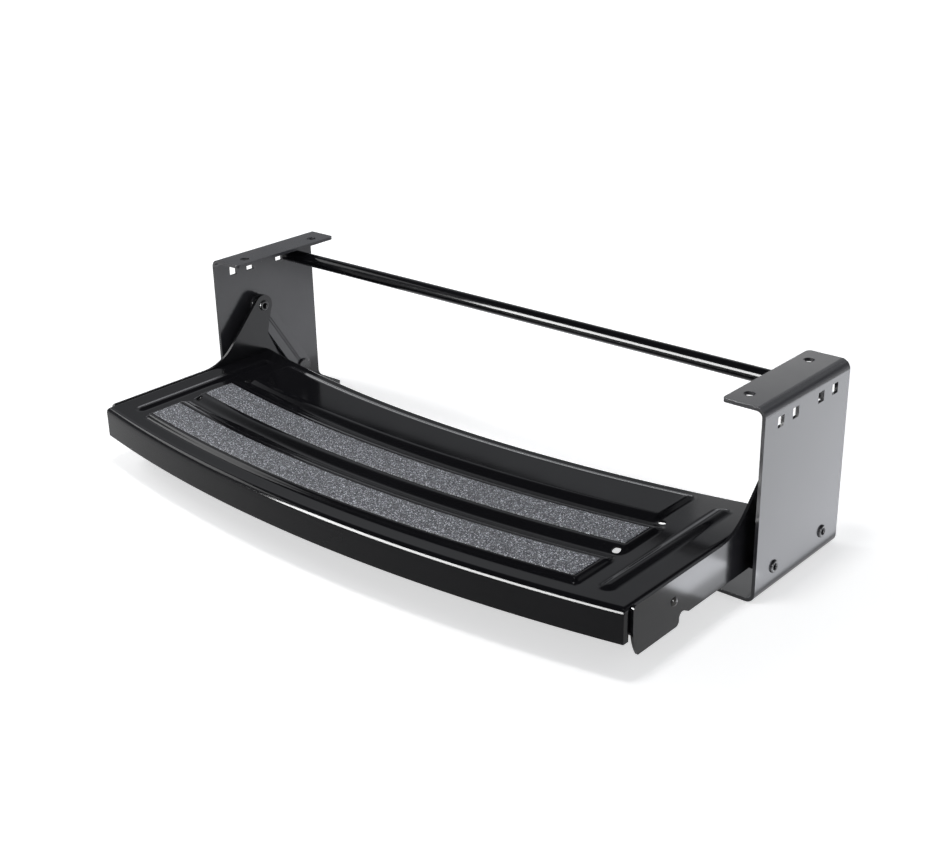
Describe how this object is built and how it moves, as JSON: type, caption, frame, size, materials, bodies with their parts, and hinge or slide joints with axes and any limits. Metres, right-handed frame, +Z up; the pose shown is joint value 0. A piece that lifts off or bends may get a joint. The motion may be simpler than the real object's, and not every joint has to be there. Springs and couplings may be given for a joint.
{
  "type": "caravan pull-out step",
  "caption": "Pull-out entrance step: a pressed, curved tread with grip strips rides on swing links between bolt-on hangers joined by a cross rod.",
  "frame": {"origin": "centre of the bolt pattern, on the mounting plane on top of the hangers", "axes": "+X along the tread, to the right seen from in front of the step; +Y towards the vehicle; +Z up"},
  "size_m": [0.6256, 0.313, 0.163],
  "materials": {
    "paint": "gloss black paint",
    "pins": "black painted steel pins and rivets",
    "spacer": "matte black spacer rings",
    "grip": "coarse grey mineral grit"
  },
  "bodies": {
    "hanger_frame": {"left_hanger": "paint", "right_hanger": "paint", "cross_rod": "paint", "left_rest_stud": "pins", "right_rest_stud": "pins", "left_link_pin": "pins", "right_link_pin": "pins", "left_link_spacer": "spacer", "right_link_spacer": "spacer"},
    "left_link": {"left_swing_link": "paint"},
    "right_link": {"right_swing_link": "paint"},
    "tread": {"tread_pan": "paint", "left_side_arm": "paint", "right_side_arm": "paint", "front_grip_strip": "grip", "rear_grip_strip": "grip", "left_tread_pin": "pins", "right_tread_pin": "pins", "left_tread_spacer": "spacer", "right_tread_spacer": "spacer", "left_arm_rivet": "pins", "right_arm_rivet": "pins"}
  },
  "joints": [
    {"name": "left_link_swing", "type": "hinge", "parent": "hanger_frame", "child": "left_link", "pos_m": [-0.3035, 0.038, -0.141], "axis": [-1, 0, 0], "range_deg": [0, 66]},
    {"name": "right_link_swing", "type": "hinge", "parent": "hanger_frame", "child": "right_link", "pos_m": [0.3035, 0.038, -0.141], "axis": [-1, 0, 0], "range_deg": [-0.1, 66.1]},
    {"name": "tread_level", "type": "hinge", "parent": "left_link", "child": "tread", "pos_m": [-0.3035, -0.016, -0.058], "axis": [-1, 0, 0], "range_deg": [-66.1, 0.1]}
  ],
  "couplings": [
    {"joint": "right_link_swing", "follows": "left_link_swing", "ratio": 1},
    {"joint": "tread_level", "follows": "left_link_swing", "ratio": -1}
  ]
}
